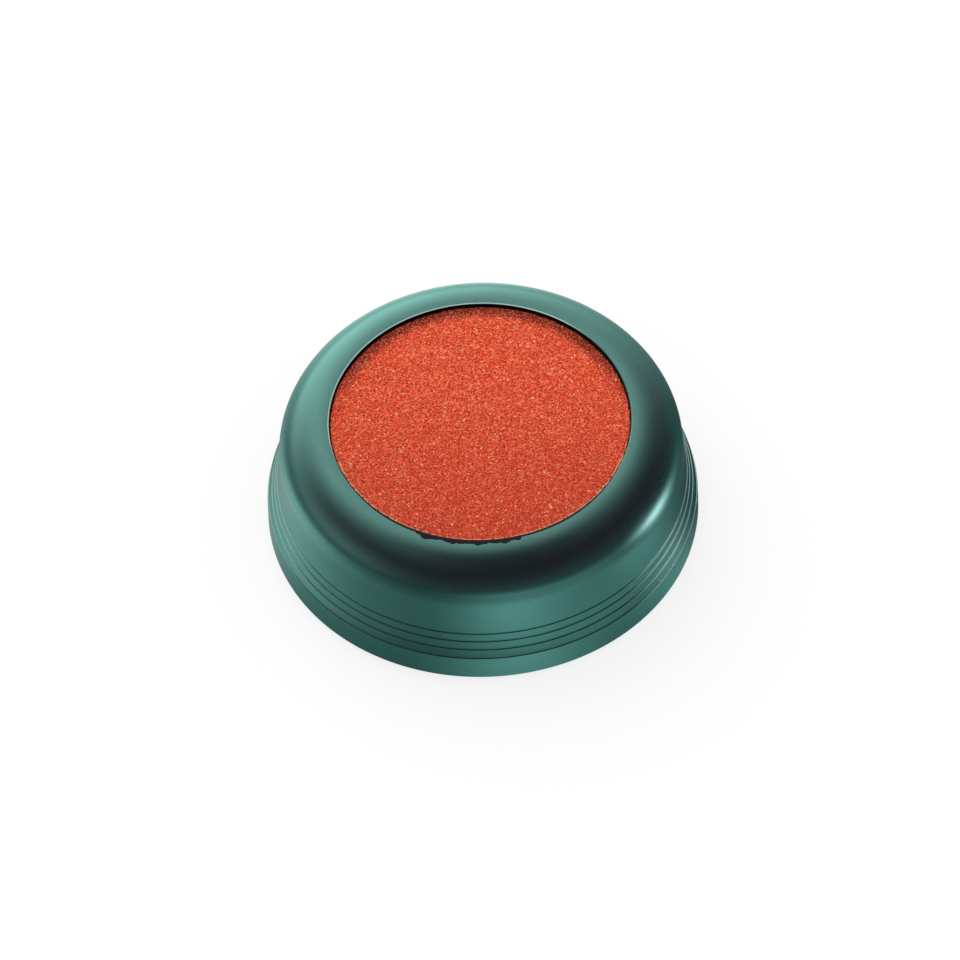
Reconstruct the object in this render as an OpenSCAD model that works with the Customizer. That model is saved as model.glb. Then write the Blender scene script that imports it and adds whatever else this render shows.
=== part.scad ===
// Desk finger moistener: a bell-shaped weighted holder with a water cup and a round sponge.
// The sponge stands on a perforated tray above the water and lies just below the crown.
// Z = 0 is the surface that the sole ring rests on. The Z axis is the axis of the bell.

/* [Bell shell] */
// Outer diameter of the bell at its foot
base_d = 100; // [83:1:130]
// Height of the crown above the surface that the holder stands on
body_h = 33.4; // [27.8:0.1:44]
// How far the foot stands out from the widest point of the shoulder
flare_out = 3.1; // [2:0.1:4]
// Section radius of the rounded shoulder
shoulder_r = 10.7; // [8.5:0.1:12.9]
// Height of the straight waist below the shoulder
waist_h = 1.9; // [0.5:0.1:2.4]
// Section radius of the hollow flare below the waist
flare_r = 31; // [25:0.5:38]
// Section radius where the flare rolls over into the foot band
band_r = 4; // [3:0.1:5]
// Section radius of the foot's lower corner
foot_r = 0.8; // [0.4:0.1:1.2]
// Wall thickness of the bell
bell_wall = 2; // [1.6:0.1:2.5]
// How far the opening's edge lies inside the crown's highest ring
lip_inset = 1.3; // [1.1:0.1:1.6]
// Section radius of the opening's edge
lip_r = 0.5; // [0.3:0.1:0.6]
// Depth of the turned-in collar below the crown
collar_depth = 5; // [4:0.1:6.5]
// Wall thickness of the collar
collar_wall = 1.8; // [1.4:0.1:2.2]

/* [Grooves] */
// Number of fine grooves round the flare
groove_count = 4; // [2:1:5]
// How far the highest groove lies below the waist
groove_drop = 6.7; // [5.5:0.1:8.1]
// Height from one groove to the next
groove_pitch = 2.1; // [1.6:0.1:2.4]
// Width of one groove
groove_w = 0.5; // [0.3:0.05:0.7]

/* [Base] */
// Height of the rubber sole ring
sole_t = 1.2; // [0.9:0.1:1.6]
// Width of the sole ring
sole_w = 11; // [9.5:0.5:12]
// How far the bell's foot stays above the resting surface
foot_gap = 0.6; // [0.4:0.1:0.8]
// Thickness of the base plate
plate_t = 2; // [1.6:0.1:2.5]
// Thickness of the steel ballast ring
ballast_t = 3; // [2:0.1:3.6]
// Inner diameter of the steel ballast ring
ballast_bore = 24; // [18:1:30]
// Width of the raised rib that carries the water cup
rib_w = 2; // [1.6:0.1:2.5]

/* [Water cup] */
// Wall thickness of the water cup
cup_wall = 1.5; // [1.2:0.1:1.8]
// How far the cup's turned-out brim stands out from its wall
brim_w = 1.3; // [0.8:0.1:1.5]
// Thickness of the cup's brim
brim_t = 1.5; // [1.2:0.1:2]
// Thickness of the rubber seal between the collar and the brim
seal_t = 1.2; // [0.8:0.1:1.6]
// Depth of the water space below the tray
water_depth = 6; // [5:0.1:7.2]

/* [Sponge and tray] */
// How far the sponge lies below the crown
sponge_recess = 0.8; // [0.6:0.1:1.2]
// Thickness of the sponge tray
tray_t = 1.8; // [1.4:0.1:2.4]
// Diameter of the water holes in the tray
tray_hole_d = 3; // [2:0.1:3.6]
// Distance between the rings of water holes
tray_hole_pitch = 6.5; // [5.4:0.1:7.8]
// Number of feet that carry the tray
tray_feet = 6; // [3:1:8]
// Diameter of one tray foot
tray_foot_d = 4; // [3:0.1:5]

/* [Screws] */
// Number of screws that hold the base plate
screw_count = 3; // [3:1:6]
// Outer diameter of the self-tapping screw thread
screw_d = 2.9; // [2.2:0.1:3.5]
// Length of the screw below its head
screw_len = 9.5; // [6.5:0.5:11]
// Diameter of the screw's pan head
screw_head_d = 5.6; // [4.6:0.1:6.8]
// Height of the screw's pan head
screw_head_h = 1.7; // [1.2:0.1:2]
// Outer diameter of the screw boss
boss_d = 6.4; // [5.6:0.1:7]

/* [Clearances] */
// Gap between the sponge and the opening, on the radius
sponge_gap = 0.3; // [0.2:0.05:0.5]
// Gap between the tray and the cup wall or the opening, on the radius
tray_gap = 0.7; // [0.5:0.05:1]
// How far the cup wall stands back from the collar's bore, on the radius
cup_step = 0.3; // [0.1:0.05:0.5]
// Gap round and above the ballast ring
ballast_gap = 0.3; // [0.2:0.05:0.5]
// Gap between the base plate and the bell, on the radius
plate_gap = 0.25; // [0.15:0.05:0.4]
// Gap between a screw and the hole that it passes through or cuts its thread in
screw_gap = 0.05; // [0.02:0.01:0.1]
// Gap between a screw head and its well, on the radius
head_gap = 0.4; // [0.3:0.05:0.6]

/* [Hidden] */
$fn = 120;
eps = 0.01;
// Largest radius of the bell, used where a cut has to reach past it
far_r = base_d;

// Outer section of the bell, from the foot up
base_r = base_d / 2;
waist_r = base_r - flare_out;
shoulder_cx = waist_r - shoulder_r;
shoulder_cz = body_h - shoulder_r;
waist_z = shoulder_cz - waist_h;
flare_cx = waist_r + flare_r;
band_cx = base_r - band_r;
blend_dx = flare_cx - band_cx;
blend_dz = sqrt(pow(flare_r + band_r, 2) - blend_dx * blend_dx);
band_cz = waist_z - blend_dz;
// The point where the band's rounding meets the flare
blend_x = band_cx + blend_dx * band_r / (flare_r + band_r);
blend_z = band_cz + blend_dz * band_r / (flare_r + band_r);

// Opening, collar, seal and cup, which share one bore line
opening_r = shoulder_cx - lip_inset;
collar_z = body_h - collar_depth;
brim_z = collar_z - seal_t;
cup_r = opening_r + cup_step;
cup_out_r = cup_r + cup_wall;
brim_r = cup_out_r + brim_w;

// Stack of the base, from the resting surface up
plate_z = sole_t;
plate_top = plate_z + plate_t;
plate_r = base_r - bell_wall - plate_gap;
ballast_top = plate_top + ballast_t;
cup_z = ballast_top + ballast_gap;
cup_floor = cup_z + cup_wall;
ballast_r = cup_out_r - rib_w - ballast_gap;

// Tray and sponge
tray_z = cup_floor + water_depth;
tray_r = opening_r - tray_gap;
sponge_z = tray_z + tray_t;
sponge_r = opening_r - sponge_gap;
sponge_top = body_h - sponge_recess;
foot_circle_r = tray_r - tray_foot_d;
// The outermost ring of water holes stays inside the feet
tray_rings = floor((foot_circle_r - (tray_foot_d + tray_hole_d) / 2) / tray_hole_pitch);

// Screws, wells and bosses
head_r = screw_head_d / 2;
well_r = head_r + head_gap;
well_wall = (boss_d - screw_d) / 2;
well_top = plate_top + screw_head_h + ballast_gap;
well_out_r = well_r + well_wall;
screw_circle_r = brim_r + boss_d / 2 + ballast_gap;
seat_z = well_top - plate_t;
sole_out_r = plate_r - foot_gap;
sole_in_r = sole_out_r - sole_w;

// Radius of the bell's outer face at height z, below the waist
function flare_x(z) =
    z > blend_z ? flare_cx - sqrt(flare_r * flare_r - pow(waist_z - z, 2)) :
    z > band_cz ? band_cx + sqrt(band_r * band_r - pow(z - band_cz, 2)) : base_r;

// Half-section of the solid bell, with its outer face moved inwards by t
module bell_section(t) {
    difference() {
        translate([0, foot_gap]) square([base_r - t, waist_z - foot_gap]);
        // Hollow flare
        translate([flare_cx, waist_z]) circle(r = flare_r + t);
        // Corner that the band's rounding takes off
        difference() {
            polygon([[band_cx, band_cz], [far_r, band_cz],
                     [far_r, band_cz + (far_r - band_cx) * blend_dz / blend_dx]]);
            translate([band_cx, band_cz]) circle(r = band_r - t);
        }
    }
    // Waist, shoulder and crown
    translate([0, band_cz]) square([waist_r - t, shoulder_cz - band_cz]);
    translate([shoulder_cx, shoulder_cz]) circle(r = shoulder_r - t);
    translate([0, waist_z]) square([shoulder_cx, body_h - t - waist_z]);
}

// Ring with a square section between two radii and two heights
module ring(r_in, r_out, z0, z1) {
    rotate_extrude() translate([r_in, z0]) square([r_out - r_in, z1 - z0]);
}

// Children repeated at each screw's place
module at_screws() {
    for (i = [0 : screw_count - 1])
        rotate(i * 360 / screw_count + 90) translate([screw_circle_r, 0]) children();
}

// Bell shell: the visible outer skin, its collar and the bosses for the screws
module shell() {
    color("#1f6b60") difference() {
        union() {
            rotate_extrude() difference() {
                union() {
                    difference() {
                        bell_section(0);
                        bell_section(bell_wall);
                        // Open foot
                        translate([0, foot_gap - 1]) square([base_r - bell_wall, 2]);
                    }
                    // Collar under the crown
                    translate([opening_r, collar_z])
                        square([collar_wall, body_h - bell_wall / 2 - collar_z]);
                }
                // Opening through the crown
                translate([-eps, collar_z - eps])
                    square([opening_r + eps, collar_depth + 1]);
                // Rounded edge of the opening
                difference() {
                    translate([opening_r, body_h - lip_r]) square([lip_r, lip_r + 1]);
                    translate([opening_r + lip_r, body_h - lip_r]) circle(r = lip_r);
                }
                // Rounded lower corner of the foot
                difference() {
                    translate([base_r - foot_r, foot_gap - 1]) square([foot_r + 1, foot_r + 1]);
                    translate([base_r - foot_r, foot_gap + foot_r]) circle(r = foot_r);
                }
                // Grooves round the flare
                for (i = [0 : groove_count - 1]) {
                    z = waist_z - groove_drop - i * groove_pitch;
                    translate([flare_x(z), z]) circle(d = groove_w, $fn = 24);
                }
            }
            // Bosses, kept inside the skin
            intersection() {
                at_screws() translate([0, 0, well_top]) cylinder(d = boss_d, h = body_h);
                rotate_extrude() bell_section(bell_wall / 2);
            }
        }
        // Pilot holes
        at_screws() translate([0, 0, well_top - eps])
            cylinder(r = screw_d / 2 + screw_gap, h = screw_len + eps);
    }
}

// Rubber seal between the collar and the cup's brim
module cup_seal() {
    color("#1c1c1c") ring(cup_r, brim_r, brim_z, collar_z);
}

// Water cup with a turned-out brim
module water_cup() {
    color("#2b2d2e") rotate_extrude() {
        translate([0, cup_z]) square([cup_out_r, cup_wall]);
        translate([cup_r, cup_z]) square([cup_wall, brim_z - cup_z]);
        translate([cup_r, brim_z - brim_t]) square([brim_r - cup_r, brim_t]);
    }
}

// Steel ring that gives the holder its weight
module ballast_ring() {
    color("#8f9396") ring(ballast_bore / 2, ballast_r, plate_top, ballast_top);
}

// Base plate: closes the bell, carries the ballast and the cup, and holds the screw heads
module base_plate() {
    color("#2b2d2e") difference() {
        union() {
            rotate_extrude() intersection() {
                translate([0, plate_z]) square([plate_r, plate_t]);
                bell_section(bell_wall + plate_gap);
            }
            // Rib under the cup and the spigot that centres the ballast
            ring(cup_out_r - rib_w, cup_out_r, plate_top - eps, cup_z);
            ring(0, ballast_bore / 2 - ballast_gap, plate_top - eps, ballast_top);
            intersection() {
                at_screws() translate([0, 0, plate_z])
                    cylinder(r = well_out_r, h = well_top - plate_z);
                rotate_extrude() bell_section(bell_wall + plate_gap);
            }
        }
        // Screw wells, open below, and the holes above them
        at_screws() translate([0, 0, plate_z - eps]) cylinder(r = well_r, h = seat_z - plate_z + eps);
        at_screws() translate([0, 0, plate_z])
            cylinder(r = screw_d / 2 + screw_gap, h = body_h);
    }
}

// Pan-head screws, driven upwards into the bosses
module base_screws() {
    color("#b8bcc0") at_screws() difference() {
        union() {
            translate([0, 0, seat_z - screw_head_h]) cylinder(r = head_r, h = screw_head_h);
            translate([0, 0, seat_z - eps]) cylinder(d = screw_d, h = screw_len - 1 + eps);
            translate([0, 0, seat_z + screw_len - 1]) cylinder(d1 = screw_d, d2 = screw_d / 2, h = 1);
        }
        // Cross recess for the driver
        for (a = [0, 90]) rotate(a)
            translate([-head_r / 2, -0.3, seat_z - screw_head_h - eps]) cube([head_r, 0.6, 1]);
    }
}

// Non-slip rubber ring under the base plate, with holes that leave the screws free
module sole_ring() {
    color("#202224") difference() {
        ring(sole_in_r, sole_out_r, 0, sole_t);
        at_screws() translate([0, 0, -eps]) cylinder(r = well_r, h = sole_t + 2 * eps);
    }
}

// Perforated tray that holds the sponge above the water
module sponge_tray() {
    color("#d8dad8") difference() {
        union() {
            ring(0, tray_r, tray_z, sponge_z);
            for (i = [0 : tray_feet - 1])
                rotate(i * 360 / tray_feet + 180 / tray_feet)
                    translate([foot_circle_r, 0, cup_floor])
                        cylinder(d = tray_foot_d, h = water_depth + eps);
        }
        translate([0, 0, tray_z - eps]) cylinder(d = tray_hole_d, h = tray_t + 2 * eps);
        for (k = [1 : tray_rings], i = [0 : 6 * k - 1])
            rotate(i * 60 / k) translate([k * tray_hole_pitch, 0, tray_z - eps])
                cylinder(d = tray_hole_d, h = tray_t + 2 * eps, $fn = 24);
    }
}

// Round sponge of open-cell rubber foam
module sponge() {
    color("#d5502f") ring(0, sponge_r, sponge_z, sponge_top);
}

shell();
cup_seal();
water_cup();
ballast_ring();
base_plate();
base_screws();
sole_ring();
sponge_tray();
sponge();
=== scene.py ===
"""Desk finger moistener: a bell-shaped holder in green metallic lacquer with a round foam sponge.

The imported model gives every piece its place. This script makes the bell with its screw bosses, the
sponge, the screws and the sole ring as detailed meshes, and gives every other piece its finish.
"""
import logging
import math
from collections.abc import Sequence
from dataclasses import dataclass
from enum import Enum
from itertools import product

import bmesh
import bpy
import numpy as np
from mathutils import Matrix, Vector


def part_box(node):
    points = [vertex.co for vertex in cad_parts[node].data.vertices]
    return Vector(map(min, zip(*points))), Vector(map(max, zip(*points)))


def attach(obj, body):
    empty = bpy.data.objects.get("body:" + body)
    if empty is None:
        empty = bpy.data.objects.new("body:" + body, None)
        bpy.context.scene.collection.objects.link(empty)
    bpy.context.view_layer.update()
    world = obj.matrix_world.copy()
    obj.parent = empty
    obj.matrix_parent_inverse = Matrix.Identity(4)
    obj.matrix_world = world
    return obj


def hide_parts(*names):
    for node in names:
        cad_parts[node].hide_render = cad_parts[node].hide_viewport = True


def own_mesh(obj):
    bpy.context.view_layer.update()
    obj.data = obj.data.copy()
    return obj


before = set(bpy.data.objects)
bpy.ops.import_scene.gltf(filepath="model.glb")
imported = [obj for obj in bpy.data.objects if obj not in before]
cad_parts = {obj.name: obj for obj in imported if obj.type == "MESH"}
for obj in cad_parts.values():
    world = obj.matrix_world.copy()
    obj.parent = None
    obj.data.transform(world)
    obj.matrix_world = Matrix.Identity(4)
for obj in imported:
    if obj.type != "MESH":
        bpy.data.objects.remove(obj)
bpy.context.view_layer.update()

LOG = logging.getLogger("moistener")
MM = 0.001
TAU = 2.0 * math.pi
QUARTER = math.pi / 2
PINPOINT = 0.01 * MM
WHITE = (1.0, 1.0, 1.0)

Point = tuple[float, float]
Colour = tuple[float, float, float]
Socket = bpy.types.NodeSocket


class Body(Enum):
    """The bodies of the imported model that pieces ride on."""

    HOLDER = "holder"
    TRAY = "tray"
    SPONGE = "sponge"


class Slot(Enum):
    """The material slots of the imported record."""

    LACQUER = "green_lacquer"
    RUBBER = "black_rubber"
    DARK_PLASTIC = "dark_plastic"
    BALLAST = "ballast_steel"
    SCREW = "screw_steel"
    TRAY = "tray_plastic"
    FOAM = "orange_foam"


# Node helpers


class Board:
    """A node tree with short calls for adding and joining nodes."""

    def __init__(self, tree: bpy.types.NodeTree) -> None:
        """Keeps the shader or geometry tree that it fills."""
        self.tree = tree

    def add(self, kind: str, inputs: dict | None = None, **values: object) -> bpy.types.Node:
        """Adds a node, sets its properties and fills its inputs.

        Args:
            kind: The node's Blender type name.
            inputs: What its input sockets get, by name or number.
            **values: Properties of the node, by name.

        Returns:
            The new node.
        """
        node = self.tree.nodes.new(kind)
        for name, value in values.items():
            setattr(node, name, value)
        for name, value in (inputs or {}).items():
            self.feed(node.inputs[name], value)
        return node

    def feed(self, socket: Socket, value: object) -> None:
        """Joins an output to a socket, or writes a plain value on it.

        Args:
            socket: The input socket.
            value: An output socket, a number, or several numbers.
        """
        if isinstance(value, Socket):
            self.tree.links.new(value, socket)
        elif isinstance(value, tuple) and len(value) == 3 and socket.type == "RGBA":
            socket.default_value = (*value, 1.0)
        else:
            socket.default_value = value

    def math(self, operation: str, *values: object, clamp: bool = False) -> Socket:
        """The result of a Math node with its inputs in order."""
        return self.add("ShaderNodeMath", dict(enumerate(values)), operation=operation,
                        use_clamp=clamp).outputs[0]

    def times(self, first: object, second: object) -> Socket:
        """The product of two numbers."""
        return self.math("MULTIPLY", first, second)


class Paint(Board):
    """A finish's node tree, with its main shader and its object coordinates."""

    def __init__(self, tree: bpy.types.NodeTree, plain: dict[str, object]) -> None:
        """Adds the main shader, the output and the coordinates.

        Args:
            tree: The material's empty tree.
            plain: The shader's plain inputs, by name.
        """
        super().__init__(tree)
        self.shader = self.add("ShaderNodeBsdfPrincipled", plain)
        self.add("ShaderNodeOutputMaterial", {0: self.shader.outputs[0]})
        self.where = self.add("ShaderNodeTexCoord").outputs["Object"]

    def set(self, name: str, value: object) -> None:
        """Fills an input of the main shader."""
        self.feed(self.shader.inputs[name], value)

    def attribute(self, name: str) -> Socket:
        """The number that the mesh carries under a name."""
        return self.add("ShaderNodeAttribute", attribute_name=name).outputs["Fac"]

    def parts(self, place: Socket) -> tuple[Socket, ...]:
        """How far across, along and up a place lies."""
        return tuple(self.add("ShaderNodeSeparateXYZ", {0: place}).outputs)

    def flat(self) -> Socket:
        """The object coordinates with no height."""
        across, along, _ = self.parts(self.where)
        return self.add("ShaderNodeCombineXYZ", {0: across, 1: along}).outputs[0]

    def radius(self) -> Socket:
        """The distance from the axis."""
        length = self.add("ShaderNodeVectorMath", {0: self.flat()}, operation="LENGTH")
        return length.outputs["Value"]

    def blend(self, share: object, first: object, second: object) -> Socket:
        """The first colour, mixed with the second by a share from 0 to 1."""
        return self.add("ShaderNodeMix", {0: share, 6: first, 7: second},
                        data_type="RGBA").outputs[2]

    def spread(self, value: object, low: float, high: float, out_low: float = 0.0,
               out_high: float = 1.0) -> Socket:
        """A number mapped smoothly from one range onto another, and held outside the range."""
        inputs = dict(enumerate((value, low, high, out_low, out_high)))
        return self.add("ShaderNodeMapRange", inputs, interpolation_type="SMOOTHSTEP").outputs[0]

    def noise(self, per_metre: float, layers: float = 2.0, rough: float = 0.5) -> Socket:
        """Noise from 0 to 1 with so many features per metre, and so many finer layers."""
        return self.add("ShaderNodeTexNoise", {"Vector": self.where, "Scale": per_metre,
                                               "Detail": layers, "Roughness": rough}).outputs[0]

    def bump(self, height: object, depth: float, before: object = None) -> Socket:
        """Adds a bump.

        Args:
            height: The height, from 0 to 1.
            depth: The height's depth in metres.
            before: A normal that this bump is added to.

        Returns:
            The bumped normal.
        """
        inputs = {"Height": height, "Distance": depth}
        if before is not None:
            inputs["Normal"] = before
        return self.add("ShaderNodeBump", inputs).outputs[0]


def blank_material(name: str) -> bpy.types.Material:
    """Makes a material with an empty tree.

    Args:
        name: Its name.

    Returns:
        The material.
    """
    made = bpy.data.materials.new(name)
    made.use_nodes = True
    made.node_tree.nodes.clear()
    return made


# Finishes


@dataclass(frozen=True)
class Finish:
    """A surface finish: its name, its slot in the record and its main shader values."""

    name: str
    slot: Slot
    colour: Colour
    metallic: float = 0.0
    roughness: float = 0.5
    coat: float = 0.0
    coat_roughness: float = 0.1
    sheen: float = 0.0
    specular: float = 0.5
    edge: Colour = WHITE

    def material(self) -> bpy.types.Material:
        """Builds the material, or finds it if it is there already.

        Returns:
            The material.
        """
        found = bpy.data.materials.get(self.name)
        if found is not None:
            return found
        made = blank_material(self.name)
        self.detail(Paint(made.node_tree, {
            "Base Color": self.colour, "Metallic": self.metallic, "Roughness": self.roughness,
            "Coat Weight": self.coat, "Coat Roughness": self.coat_roughness,
            "Sheen Weight": self.sheen, "Specular Tint": self.edge,
            "Specular IOR Level": self.specular}))
        return made

    def detail(self, paint: Paint) -> None:
        """Adds the finish's own pattern. The plain finish has none."""

    def shade(self, factor: float) -> Colour:
        """The finish's colour made lighter or darker."""
        return tuple(min(1.0, part * factor) for part in self.colour)


@dataclass(frozen=True)
class Lacquer(Finish):
    """Metallic lacquer on moulded plastic: fine flakes under a smooth, slightly wavy coat.

    The pairs are what holds at the start and at the end of a range: the painted shade in a
    groove's floor away from and on the lit sides, the painted shade line's width at the front and
    at the back, and the headings in degrees where the front ends and the back begins.
    """

    flake_per_metre: float = 5200.0
    flake_depth: float = 0.0012 * MM
    flake_share: float = 0.2
    cloud_per_metre: float = 34.0
    cloud_share: float = 0.2
    gloss_per_metre: float = 95.0
    wave_per_metre: float = 260.0
    wave_depth: float = 0.012 * MM
    # Painted shade in the groove floors, away from and on the lit sides
    groove_shade: Point = (0.25, 0.08)
    # Painted highlight on the grooves' lower lips
    groove_highlight_colour: Colour = (0.42, 0.85, 0.8)
    # The lit sides, where the grooves catch the light
    lit_side_places: Point = (-0.88, 0.74)
    lit_side_fade: Point = (0.07, 0.09)
    lit_side_shares: Point = (0.4, 1.0)
    lip_radius: float = 35.05 * MM
    lip_heights: Point = (30.0 * MM, 30.5 * MM)
    # Painted shade along the opening's edge: ragged marks at the front and a thin line round the lip
    lip_shade_colour: Colour = (0.001, 0.0013, 0.0016)
    lip_shade_line: Point = (0.78 * MM, 0.1 * MM)
    lip_shade_headings: Point = (26.0, 75.0)
    lip_shade_sharpness: float = 9000.0
    ragged_shade_heading: float = -6.0
    ragged_shade_width: float = 20.0
    ragged_shade_per_metre: float = 360.0
    ragged_shade_spread: float = 3.4 * MM
    ragged_shade_reach: float = 0.75 * MM
    # A painted highlight along the back of the lip
    back_lip_highlight_colour: Colour = (0.52, 0.76, 0.72)
    back_lip_highlight_metallic: float = 0.2
    back_lip_highlight_inset: float = 0.16 * MM
    back_lip_highlight_widths: Point = (0.06 * MM, 0.17 * MM)
    back_lip_highlight_side: Point = (-0.5, 0.87)

    def detail(self, paint: Paint) -> None:
        """Flakes vary the colour, clouds the tone, painted shade and highlights mark grooves and
        lip, and a slow wave bends the coat.

        Args:
            paint: The material's tree.
        """
        flakes = paint.add("ShaderNodeTexVoronoi",
                           {"Vector": paint.where, "Scale": self.flake_per_metre}, feature="F1")
        flake = paint.add("ShaderNodeSeparateColor", {0: flakes.outputs["Color"]}).outputs
        glitter = paint.spread(flake[0], 0.1, 0.95, 0.0, self.flake_share)
        tone = paint.blend(glitter, self.colour, self.shade(1.5))
        cloud = paint.spread(paint.noise(self.cloud_per_metre, 3.0), 0.3, 0.7, 0.0,
                             self.cloud_share)
        tone = paint.blend(cloud, tone, self.shade(0.82))
        lit_side = self.lit_sides(paint)
        # Painted shade in the groove floors, lighter on the lit sides
        groove_shade_mask = paint.math("MULTIPLY", paint.attribute("groove_floor"),
                          paint.spread(lit_side, 0.0, 1.0, *self.groove_shade), clamp=True)
        tone = paint.blend(groove_shade_mask, tone, self.shade(0.3))
        # Painted highlight on the grooves' lower lips on the lit sides
        edges = paint.times(paint.attribute("groove_lip"), lit_side)
        tone = paint.blend(edges, tone, self.groove_highlight_colour)
        lip_shade, back_lip_highlight = self.lip_shade_and_highlight(paint)
        # Painted shade at the opening's edge
        tone = paint.blend(lip_shade, tone, self.lip_shade_colour)
        # Painted highlight along the back of the lip, where the surface is also less metallic
        paint.set("Base Color", paint.blend(back_lip_highlight, tone, self.back_lip_highlight_colour))
        paint.set("Metallic", paint.spread(back_lip_highlight, 0.0, 1.0, self.metallic, self.back_lip_highlight_metallic))
        paint.set("Roughness", paint.spread(paint.noise(self.gloss_per_metre, 4.0), 0.3, 0.7,
                                            self.roughness * 0.92, self.roughness * 1.1))
        wave = paint.bump(paint.noise(self.wave_per_metre, 1.0), self.wave_depth)
        paint.set("Normal", paint.bump(flake[1], self.flake_depth, wave))

    def lit_sides(self, paint: Paint) -> Socket:
        """How far a point lies on the two lit sides, where the grooves catch the light.

        Args:
            paint: The material's tree.

        Returns:
            The lit share, from 0 to 1.
        """
        unit = paint.add("ShaderNodeVectorMath", {0: paint.flat()}, operation="NORMALIZE")
        side = paint.parts(unit.outputs[0])[0]
        (left, right), (left_fade, right_fade) = self.lit_side_places, self.lit_side_fade
        left_share, right_share = self.lit_side_shares
        return paint.math(
            "MAXIMUM", paint.spread(side, left - left_fade, left + left_fade, left_share, 0.0),
            paint.spread(side, right - right_fade, right + right_fade, 0.0, right_share))

    def lip_shade_and_highlight(self, paint: Paint) -> tuple[Socket, Socket]:
        """Painted shade and a painted highlight along the opening's edge.

        Ragged near-black marks at the front and a thin dark line round the lip, widest at the front,
        are painted shade; a pale ring along the back of the lip is a painted highlight.

        Args:
            paint: The material's tree.

        Returns:
            The share of painted shade and the share of painted highlight, each from 0 to 1.
        """
        across, along, rise = paint.parts(paint.where)
        radius = paint.radius()
        top = paint.spread(rise, *self.lip_heights)
        heading = paint.math("DEGREES", paint.math("ARCTAN2", across, paint.times(along, -1.0)))
        # Ragged painted shade at the front of the opening's edge
        aside = paint.math("ABSOLUTE", paint.math("SUBTRACT", heading, self.ragged_shade_heading))
        here = paint.spread(aside, self.ragged_shade_width - 1.0, self.ragged_shade_width + 1.0, 1.0, 0.0)
        ragged = paint.math("SUBTRACT", paint.noise(self.ragged_shade_per_metre, 3.0, 0.6), 0.5)
        ragged_shade = paint.math("ADD", paint.times(ragged, self.ragged_shade_spread), self.ragged_shade_reach)
        # A thin painted shade line round the lip, widest at the front
        line = paint.spread(paint.math("ABSOLUTE", heading), *self.lip_shade_headings, *self.lip_shade_line)
        reach = paint.math("ADD", paint.times(ragged_shade, here), line)
        inside = paint.math("SUBTRACT", paint.math("ADD", reach, self.lip_radius), radius)
        lip_shade = paint.math("MULTIPLY", inside, self.lip_shade_sharpness, clamp=True)
        # A pale painted highlight ring along the back of the lip
        towards = paint.math("ADD", paint.times(across, self.back_lip_highlight_side[0]),
                             paint.times(along, self.back_lip_highlight_side[1]))
        lit_side = paint.spread(paint.math("DIVIDE", towards, radius), 0.1, 0.5)
        middle = paint.math("SUBTRACT", radius, self.lip_radius + self.back_lip_highlight_inset)
        ring = paint.spread(paint.math("ABSOLUTE", middle), *self.back_lip_highlight_widths, 1.0, 0.0)
        return paint.times(lip_shade, top), paint.times(paint.times(ring, lit_side), top)


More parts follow.
